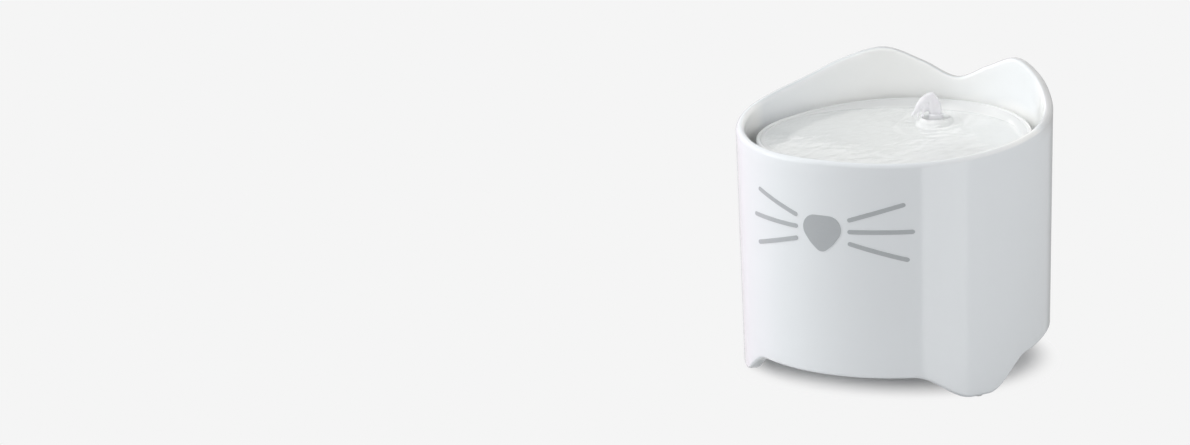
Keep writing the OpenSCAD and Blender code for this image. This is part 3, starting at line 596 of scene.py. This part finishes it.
def dish_floor(x, y):
    """Height of the dish's floor, with the low mound around the spout hole."""
    share = math.hypot(x, y) / (dish_r(math.atan2(y, x)) - DISH_T)
    curve = DISH_CURVE + (DISH_BACK_CURVE - DISH_CURVE) * ease(from_front(x, y), 60, 150)
    saucer = DISH_LOW_H + (dish_rim(x, y) - 0.6 * MM - DISH_LOW_H) * share**curve
    away = math.hypot(x, y - SPOUT_Y) - HOLE_R
    mound = LIP_H - 1.2 * MM * ease(away, 0.6 * MM, 3 * MM) - 6 * MM * ease(away, 1.6 * MM, 7 * MM)
    return max(saucer, mound) + 0.2 * MM * math.exp(-((saucer - mound) / (0.6 * MM)) ** 2)


def morph_rings(piece, steps, rings):
    """Lays each ring of a piece between the spout hole and the dish's outline.

    A ring is (share, offset, height): share 0 is the hole and 1 the outline,
    offset moves the ring out from there, and height is a number or a function
    of x and y."""
    for i, v in enumerate(piece.data.vertices):
        share, offset, height = rings[i // steps]
        angle = 2 * math.pi * (i % steps) / steps
        out = Vector((math.cos(angle), math.sin(angle), 0))
        hole, edge = SPOUT + out * HOLE_R, out * (dish_r(angle) - DISH_T)
        p = hole.lerp(edge, share) + out * offset
        v.co = (p.x, p.y, height(p.x, p.y) if callable(height) else height)


def extrude_blank_rings(name, steps, count):
    piece = start_ring(name, 0.01, 0, steps)
    for _ in range(count - 1):
        bpy.ops.mesh.extrude_region_move(TRANSFORM_OT_translate={"value": (0, 0, 1 * MM)})
    bpy.ops.object.mode_set(mode="OBJECT")
    return piece


SKIRT_H = LUG_H + 0.3 * MM
rim_half = DISH_T / 2
dish_rings = [(0, 0, COLLAR_END_H), (0, 0, LIP_H - 9 * MM), (0, 0, LIP_H - 0.8 * MM)]
dish_rings += [(0, 0.25 * MM, LIP_H - 0.25 * MM), (0, 0.8 * MM, LIP_H)]
dish_rings += [(0, (0.8 + i * 0.55) * MM, dish_floor) for i in range(1, 25)]
dish_rings += [(0.2 + 0.8 * (i / DISH_FLOOR_RINGS) ** 0.85, 0, dish_floor) for i in range(DISH_FLOOR_RINGS)]
for i in range(11):
    b = math.radians(150 - 15 * i)
    dish_rings.append((1, rim_half + rim_half * math.cos(b),
                       lambda x, y, up=rim_half * math.sin(b): dish_rim(x, y) - rim_half + up))
dish_rings += [(1, DISH_T, SKIRT_H + 1 * MM), (1, DISH_T - 0.4 * MM, SKIRT_H + 0.2 * MM)]
dish_rings += [(1, DISH_T - 1 * MM, SKIRT_H), (1, 0, SKIRT_H), (1, -0.4 * MM, SKIRT_H + 1 * MM)]
for i in range(1, 18):
    dish_rings.append((1 - i / 20, -0.4 * MM * (1 - i / 20),
                       lambda x, y: min(dish_floor(x, y), LIP_H - 1 * MM) - DISH_T))
dish_rings += [(0, COLLAR_T + 1 * MM, LIP_H - 5.2 * MM), (0, COLLAR_T, LIP_H - 7 * MM)]
dish_rings += [(0, COLLAR_T, COLLAR_END_H)]
dish = extrude_blank_rings("dish_shell", DISH_STEPS, len(dish_rings))
morph_rings(dish, DISH_STEPS, dish_rings)
close_rings(dish)
finish_mesh(dish, 45)

# Painted shade greys the dish's bank, and a painted highlight streak, where a lamp glints,
# lies on it at the right.  A point gives the share of the dish's radius at a turn from the front.
HIGHLIGHT_STREAK = [(96, 0.93), (101, 0.949), (109, 0.971), (116, 0.942), (123, 0.927), (133, 0.933), (140, 0.948)]
HIGHLIGHT_STREAK_WIDTH = 0.013
BANK_SHADE_INNER = [(-225, 0.9), (-160, 0.9), (-149, 0.91), (-134, 0.9), (-112, 0.85), (-85, 0.79), (-62, 0.785),
              (-48, 0.9), (-35, 0.99)]


def dish_painted_light(x, y, z):
    """Above 0 where shade is painted on the bank, most at the left and also at the right, and -1 where
    light is painted: on the highlight streak and outside the rim at the right.
    """
    turn_deg = math.degrees(math.atan2(x, -y))
    share = math.hypot(x, y) / (dish_r(math.atan2(y, x)) - DISH_T)
    off_highlight = (share - float(np.interp(turn_deg, *zip(*HIGHLIGHT_STREAK)))) / HIGHLIGHT_STREAK_WIDTH
    highlight_streak = math.exp(-off_highlight ** 2) * ease(turn_deg, 94, 110) * (1 - ease(turn_deg, 136, 143))
    far_right_shade = 0.1 * ease(turn_deg, 100, 130)
    if turn_deg > 120:
        turn_deg -= 360
    inner = float(np.interp(turn_deg, *zip(*BANK_SHADE_INNER)))
    ends = 0.7 * ease(turn_deg, -235, -160) + 0.3 + 0.5 * ease(turn_deg, -92, -74)
    ends -= 1.2 * ease(turn_deg, -50, -30)
    # Painted shade on the right of the dish, whose bank faces the light.
    right = (0.5 + far_right_shade + 0.2 * ease(share, 0.955, 0.985)) * ease(x, 8 * MM, 48 * MM)
    bank_shade = max(ease(share, inner - 0.02, inner + 0.04) * ends, right)
    # Painted light just outside the rim at the right, where shade falls in the gap to the wall.
    lit_outside = ease(share, 1.012, 1.028) * ease(x, -10 * MM, 20 * MM)
    white = max(highlight_streak, lit_outside)
    return (bank_shade * (1 - white) - white) * (z > DISH_LOW_H)


# The dish's own glaze tone and mottle, a grey colour for its painted shade and a near-white one for its
# painted highlight.
dish_glaze = glaze("dish glaze", (0.955, 0.965, 0.96, 1), (0.94, 0.95, 0.945, 1),
                   (0.75, 0.765, 0.765, 1), (0.995, 0.995, 0.99, 1))
dish_glaze.on(dish)
paint(dish, dish_painted_light)
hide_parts("drinking_dish")
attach(dish, "dish")

# ---------------------------------------------------------------- water
# Clear water stands in the dish a little above the lip of the spout hole and
# slips down the hole around the nozzle.  Rings run out from the spout, and the
# falling water chops the surface in front of it.
WATER_H = 139.9 * MM
LANDING = Vector((-9 * MM, 46 * MM, 0))
POOL_STEPS, POOL_RINGS = 300, 84


def pool_share(angle):
    """Share of the way from the hole to the dish's outline at which the water ends."""
    out = Vector((math.cos(angle), math.sin(angle), 0))
    hole, edge = SPOUT + out * HOLE_R, out * (dish_r(angle) - DISH_T)
    low, high = 0.1, 1
    for _ in range(30):
        middle = (low + high) / 2
        p = hole.lerp(edge, middle)
        if dish_floor(p.x, p.y) < WATER_H - 0.02 * MM:
            low = middle
        else:
            high = middle
    return low


def pool_top(x, y, shore):
    """Height of the water; shore is 0 at its edge and 1 well inside."""
    d = math.hypot(x, y - SPOUT_Y)
    f = math.hypot(x - LANDING.x, y - LANDING.y)
    dip = 0.6 * MM * (1 - ease(d, HOLE_R, HOLE_R + 6 * MM))
    rings = 0.12 * MM * math.exp(-d / (28 * MM)) * math.sin(2 * math.pi * d / (9 * MM))
    splash = 0.2 * MM * math.exp(-f / (22 * MM)) * math.sin(2 * math.pi * f / (8 * MM) + 1)
    chop = noise.fractal(Vector((x, y * 0.5, 0)) / (6 * MM), 1, 2.1, 3) * 0.5 * MM
    slow = noise.noise(Vector((x, y, 5 * MM)) / (26 * MM)) * 0.04 * MM
    calm = math.exp(-f / (34 * MM))
    return WATER_H - dip + (rings + splash + chop * calm + slow) * ease(shore, 0, 1)


pool = extrude_blank_rings("dish_water", POOL_STEPS, POOL_RINGS + 3 + POOL_RINGS // 2)
film = 0.06 * MM
shore = [pool_share(2 * math.pi * step / POOL_STEPS) for step in range(POOL_STEPS)]
for i, v in enumerate(pool.data.vertices):
    ring, step = divmod(i, POOL_STEPS)
    angle = 2 * math.pi * step / POOL_STEPS
    out = Vector((math.cos(angle), math.sin(angle), 0))
    hole, edge = SPOUT + out * HOLE_R, out * (dish_r(angle) - DISH_T)
    last = shore[step]
    if ring < 3:
        p = hole - out * (0.5 - 0.05 * ring) * MM
        v.co = (p.x, p.y, LIP_H - (3.5 - 1.5 * ring) * MM)
        continue
    top = ring < POOL_RINGS + 3
    t = (ring - 3) / (POOL_RINGS - 1) if top else 1 - (ring - POOL_RINGS - 2) / (POOL_RINGS // 2)
    p = hole.lerp(edge, last * t)
    if top:
        p -= out * 0.3 * MM * (1 - ease(t, 0, 0.02))
        v.co = (p.x, p.y, pool_top(p.x, p.y, (1 - t) * 9))
    else:
        v.co = (p.x, p.y, min(dish_floor(p.x, p.y) + film, WATER_H - 0.03 * MM))
close_rings(pool)
finish_mesh(pool, 80)


def water(name, tint, milk, bend=0):
    """Clear water: mirror-like at a glance, clear from above, and milky with fine bubbles.

    Moving water also bends what is behind it."""
    finish = Finish(name, Roughness=0.03, IOR=1.33, Base_Color=tint)
    inside = finish.node("ShaderNodeNewGeometry", output="Backfacing")
    drawn_out = finish.node("ShaderNodeVectorMath", {"operation": "MULTIPLY"},
                            {0: finish.place, 1: (1, 0.45, 1)})
    waves = finish.noise(170, 2, 0.5, drawn_out)
    ripple = finish.node("ShaderNodeBump", (), {"Height": waves, "Distance": 0.9 * MM, "Strength": 0.5})
    glance = finish.node("ShaderNodeFresnel", (), {"IOR": 1.33, "Normal": ripple}) * (1 - inside)
    clear = finish.node("ShaderNodeBsdfTransparent", (), {"Color": (0.995, 0.998, 0.997, 1)})
    if bend:
        refract = finish.node("ShaderNodeBsdfRefraction", (),
                              {"Color": (0.97, 0.965, 0.985, 1), "Roughness": 0.02, "IOR": 1.33})
        clear = finish.node("ShaderNodeMixShader", (), {0: bend, 1: clear, 2: refract})
    mirror = finish.node("ShaderNodeBsdfGlossy", (),
                         {"Color": (1, 1, 1, 1), "Roughness": 0.04, "Normal": ripple})
    milky = Wire(finish, finish.shader.outputs[0])
    body = finish.node("ShaderNodeMixShader", (), {0: milk, 1: clear, 2: milky})
    surface = finish.node("ShaderNodeMixShader", (), {0: glance, 1: body, 2: mirror})
    finish.tree.links.new(surface.socket, finish.out.inputs["Surface"])
    return finish


water("pool water", (0.93, 0.94, 0.94, 1), 0.06).on(pool)
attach(pool, "dish")

# ---------------------------------------------------------------- bubbling spout
# The pump pushes a lump of water up through the nozzle.  It leans over to one
# side, runs down in strands and sheds a few drops.  It goes with the dish.
NOZZLE_TOP = 140.6 * MM
COLUMN_LUMPS = [(0, 0, -1.2, 2.5), (-0.1, 0, 0.6, 3), (-0.6, -0.1, 2.6, 4.3), (-1, -0.2, 5, 4.2),
                (-1.6, -0.5, 7.6, 3.8), (-2.3, -0.9, 10.2, 3.1)]
ARCH_LUMPS = [(-4.8, -2.1, 9, 3.3), (-7.2, -3.3, 6.9, 3), (-9.3, -4.4, 4.3, 2.2), (-5.6, -2.6, 4.6, 3.2),
              (-10.9, -5.1, 2.1, 1.3), (-12.1, -5.7, 0.4, 0.8), (-12.9, -6.2, -0.8, 1)]
STRAND_LUMPS = [(-8.6, -4.9, 2.6, 1.1), (-9, -5.7, 0.9, 0.6), (-9.4, -6.5, -0.7, 0.9),
                (-5.9, -4.4, 2, 1), (-6, -5.6, 0.5, 0.6), (-6.1, -6.6, -0.8, 0.9)]
DROPS = [(-13.6, -5.2, 6.6, 0.5), (-14.6, -6.8, 3.4, 0.45), (-11.2, -7.6, 2.6, 0.4), (-3.2, -5.5, 2.4, 0.4)]
LUMP_GRAIN = 0.28 * MM


def lump_chain(chain, links):
    """Round lumps along a chain, joined by smaller ones between each two."""
    lumps = []
    for one, two in zip(chain, chain[1:]):
        for k in range(links):
            t = k / links
            lumps.append([p + (q - p) * t for p, q in zip(one, two)])
    return lumps + [list(chain[-1])]


lumps = lump_chain(COLUMN_LUMPS, 4) + lump_chain([COLUMN_LUMPS[-1]] + ARCH_LUMPS[:3], 5)
lumps += lump_chain(ARCH_LUMPS[2:3] + ARCH_LUMPS[4:], 5) + lump_chain([ARCH_LUMPS[3], ARCH_LUMPS[1]], 3)
lumps += lump_chain([ARCH_LUMPS[2]] + STRAND_LUMPS[:3], 5)
lumps += lump_chain([ARCH_LUMPS[3]] + STRAND_LUMPS[3:], 5)
lumps += [list(drop) for drop in DROPS]
bpy.ops.object.select_all(action="DESELECT")
parts = []
for lx, ly, lz, lr in lumps:
    bpy.ops.mesh.primitive_ico_sphere_add(subdivisions=3, radius=lr * MM,
                                          location=(lx * MM, SPOUT_Y + ly * MM, NOZZLE_TOP + lz * MM))
    parts.append(bpy.context.object)
for part in parts:
    part.select_set(True)
bpy.context.view_layer.objects.active = parts[0]
bpy.ops.object.join()
column = bpy.context.object
bpy.ops.object.transform_apply(location=True, rotation=True, scale=True)
column.name = column.data.name = "spout_water"
remesh = column.modifiers.new("melt", "REMESH")
remesh.mode = "VOXEL"
remesh.voxel_size = LUMP_GRAIN
relax = column.modifiers.new("relax", "SMOOTH")
relax.factor, relax.iterations = 0.5, 9
bpy.ops.object.modifier_apply(modifier="melt")
bpy.ops.object.modifier_apply(modifier="relax")
for v in column.data.vertices:
    wobble = noise.noise_vector(v.co / (3.4 * MM)) * 0.32 * MM
    v.co += wobble * ease(v.co.z, NOZZLE_TOP - 1 * MM, NOZZLE_TOP + 4 * MM)
finish_mesh(column, 80)
water("spout water", (0.97, 0.96, 0.99, 1), 0.7, 0.5).on(column)
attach(column, "dish")
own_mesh(column)

# ---------------------------------------------------------------- stage
# A pale table under soft studio lamps.  The camera sees plain paper, except for
# the shade that gathers under the pot.  The glaze mirrors the low lamp, a strip
# light, a weaker panel beyond it and a bright wall above.
PAPER = 0.913
BOUNCE = 0.74
FLOOR_SIZE = 12
SHADE_TONE = 0.9
SHADE_CENTRE, SHADE_TURN, SHADE_SQUEEZE = (-42.6 * MM, 59.9 * MM, 0), -0.565, 1 / 1.273
SHADE_IN, SHADE_OUT = 118.5 * MM, 169.3 * MM
SHADE_VEIL = 0.05
POT_NEAR, POT_FAR = 76 * MM, 99.5 * MM


def grey(tone):
    return (tone, tone, tone, 1)


bpy.ops.object.select_all(action="DESELECT")
bpy.ops.mesh.primitive_plane_add(size=FLOOR_SIZE, location=(0, 0, 0))
floor = bpy.context.object
floor.name = "floor"
paper = Finish("paper", Roughness=1.0, Specular_IOR_Level=0.0)
oval = paper.node("ShaderNodeMapping", {"vector_type": "TEXTURE"},
                  {"Vector": paper.place, "Location": SHADE_CENTRE, "Rotation": (0, 0, SHADE_TURN),
                   "Scale": (1, SHADE_SQUEEZE, 1)})
away = paper.node("ShaderNodeVectorMath", {"operation": "LENGTH"}, {0: oval}, output="Value")
edges = {"Value": away, "From Min": SHADE_IN, "From Max": SHADE_OUT, "To Min": SHADE_VEIL}
in_oval = 1 - paper.node("ShaderNodeMapRange", {"interpolation_type": "SMOOTHSTEP"}, edges)
reach = paper.node("ShaderNodeVectorMath", {"operation": "LENGTH"}, {0: paper.place}, output="Value")
edges = {"Value": reach, "From Min": POT_FAR, "From Max": POT_NEAR}
near_pot = paper.node("ShaderNodeMapRange", {"interpolation_type": "SMOOTHSTEP"}, edges)
clear_of_pot = 1 - in_oval * near_pot
seen = paper.node("ShaderNodeLightPath", output="Is Camera Ray")
mirrored = paper.node("ShaderNodeLightPath", output="Is Glossy Ray")
paper.wire("Base Color", paper.mix(seen, grey(BOUNCE), grey(SHADE_TONE)))
plain = paper.node("ShaderNodeEmission", (), {"Color": grey(PAPER)})
through = paper.node("ShaderNodeBsdfTransparent")
lit = Wire(paper, paper.shader.outputs[0])
shown = paper.node("ShaderNodeMixShader", (), {0: clear_of_pot * seen, 1: lit, 2: plain})
surface = paper.node("ShaderNodeMixShader", (), {0: mirrored, 1: shown, 2: through})
paper.tree.links.new(surface.socket, paper.out.inputs["Surface"])
paper.on(floor)
LAMPS_AIM_H = 90 * MM


def away_from_pot(azimuth, elevation):
    """Unit vector from the pot at an azimuth (0 is the front) and an elevation."""
    a, e = math.radians(azimuth), math.radians(elevation)
    return Vector((math.sin(a) * math.cos(e), -math.cos(a) * math.cos(e), math.sin(e)))


def softbox(name, azimuth, elevation, distance, width, height, radiance):
    """A rectangular lamp that faces the pot from an azimuth and an elevation."""
    back = away_from_pot(azimuth, elevation)
    lamp = bpy.data.lights.new(name, "AREA")
    lamp.shape = "RECTANGLE"
    lamp.size, lamp.size_y = width, height
    lamp.energy = radiance * math.pi * width * height
    holder = bpy.data.objects.new(name, lamp)
    bpy.context.scene.collection.objects.link(holder)
    holder.rotation_mode = "QUATERNION"
    holder.location = Vector((0, 0, LAMPS_AIM_H)) + back * distance
    holder.rotation_quaternion = back.to_track_quat("Z", "Y")
    return holder


softbox("key", -75, 38, 1.6, 1.1, 1.3, 3.8).visible_glossy = False
softbox("fill", 20, 25, 1.8, 1.2, 1.2, 1.5).visible_glossy = False
softbox("right", 100, 30, 1.8, 1.2, 1.2, 1.95).visible_glossy = False
softbox("low left", -60, 8, 1.8, 1.4, 1.0, 1.75)


class Surround(Finish):
    """The world around the pot, built with the same node methods as a finish."""

    def __init__(self, name):
        world = bpy.data.worlds.new(name)
        bpy.context.scene.world = world
        world.use_nodes = True
        self.tree = world.node_tree
        self.shader = self.tree.nodes["Background"]
        self.place = self.node("ShaderNodeTexCoord", output="Generated")

    def band(self, value, low, high, soft):
        """1 between low and high, with soft edges."""
        rise = {"Value": value, "From Min": low - soft, "From Max": low + soft}
        fall = {"Value": value, "From Min": high + soft, "From Max": high - soft}
        smooth = {"interpolation_type": "SMOOTHSTEP"}
        return self.node("ShaderNodeMapRange", smooth, rise) * self.node("ShaderNodeMapRange", smooth, fall)


# A place in the room has a turn from the front in degrees, and a height between
# -1 below the pot and 1 above it.  The strip and the panel end a little above
# the horizon, so that level water mirrors only the wall to a viewer above them.
room = Surround("studio")
axes = {axis: room.node("ShaderNodeSeparateXYZ", (), {0: room.place}, output=axis) for axis in "XYZ"}
turn = room.math("ARCTAN2", axes["X"], 0 - axes["Y"]) * (180 / math.pi)
STRIP, STRIP_FROM, STRIP_TO = 1.72, 44.5, 79.2
PANEL, PANEL_TO, PANEL_FADED = 0.76, 200, 185
LIGHTS_LOW, LIGHTS_TOP = -0.55, 0.12
UPPER, UPPER_LOW = 0.85, 0.25
BEHIND, BEHIND_TOP = 0.2, 0.2
LILAC, LILAC_FROM, LILAC_TO, LILAC_TOP = (0.3, 0.12, 0.22), -136, -75, 0.55
GLOSS = 0.62
AMBIENT = 0.3
fade = {"Value": turn, "From Min": PANEL_FADED, "From Max": STRIP_TO}
panel_fade = room.node("ShaderNodeMapRange", (), fade)
glow = room.band(turn, STRIP_FROM, STRIP_TO, 0.5) * STRIP
glow = glow + room.band(turn, STRIP_TO, PANEL_TO, 0.5) * panel_fade * PANEL
glow = glow * room.band(axes["Z"], LIGHTS_LOW, LIGHTS_TOP, 0.1)
glow = glow + room.band(axes["Z"], UPPER_LOW, 2, 0.14) * UPPER + GLOSS
rear = room.band(axes["X"], -0.3, 0.02, 0.06) * room.band(axes["Y"], 0.5, 2, 0.1)
glow = glow - rear * room.band(axes["Z"], -2, BEHIND_TOP, 0.1) * BEHIND
left = room.band(turn, LILAC_FROM, LILAC_TO, 15) * room.band(axes["Z"], LIGHTS_LOW, LILAC_TOP, 0.15)
ray = room.node("ShaderNodeLightPath", output="Is Glossy Ray")
camera_ray = room.node("ShaderNodeLightPath", output="Is Camera Ray")
tinted = {i: glow + left * share for i, share in enumerate(LILAC)}
glow_colour = room.node("ShaderNodeCombineXYZ", (), tinted)
lighting = room.mix(ray, grey(AMBIENT), glow_colour)
room.wire("Color", room.mix(camera_ray, lighting, grey(PAPER)))

# ---------------------------------------------------------------- camera
# The camera looks at the middle of the pot from a little to its left side,
# with a long lens, and frames it at the right of a wide picture.
CAMERA_AZIMUTH, CAMERA_ELEVATION, CAMERA_ROLL = 25.36, 14.91, -0.68
CAMERA_DISTANCE = 1.8833
AIM = Vector((0, 0, 85.5 * MM))
PICTURE_WIDTH = 1190
FOCAL_PIXELS = 3115.5
AXIS_PIXEL = 895.4
back = away_from_pot(CAMERA_AZIMUTH, CAMERA_ELEVATION)
camera_data = bpy.data.cameras.new("camera")
camera_data.sensor_width = 36
camera_data.lens = 36 * FOCAL_PIXELS / PICTURE_WIDTH
camera_data.shift_x = -(AXIS_PIXEL - PICTURE_WIDTH / 2) / PICTURE_WIDTH
camera = bpy.data.objects.new("camera", camera_data)
bpy.context.scene.collection.objects.link(camera)
camera.rotation_mode = "QUATERNION"
camera.location = AIM + back * CAMERA_DISTANCE
roll = Matrix.Rotation(math.radians(CAMERA_ROLL), 3, "Z").to_quaternion()
camera.rotation_quaternion = back.to_track_quat("Z", "Y") @ roll
bpy.context.scene.camera = camera
bpy.context.scene.view_settings.view_transform = "Standard"
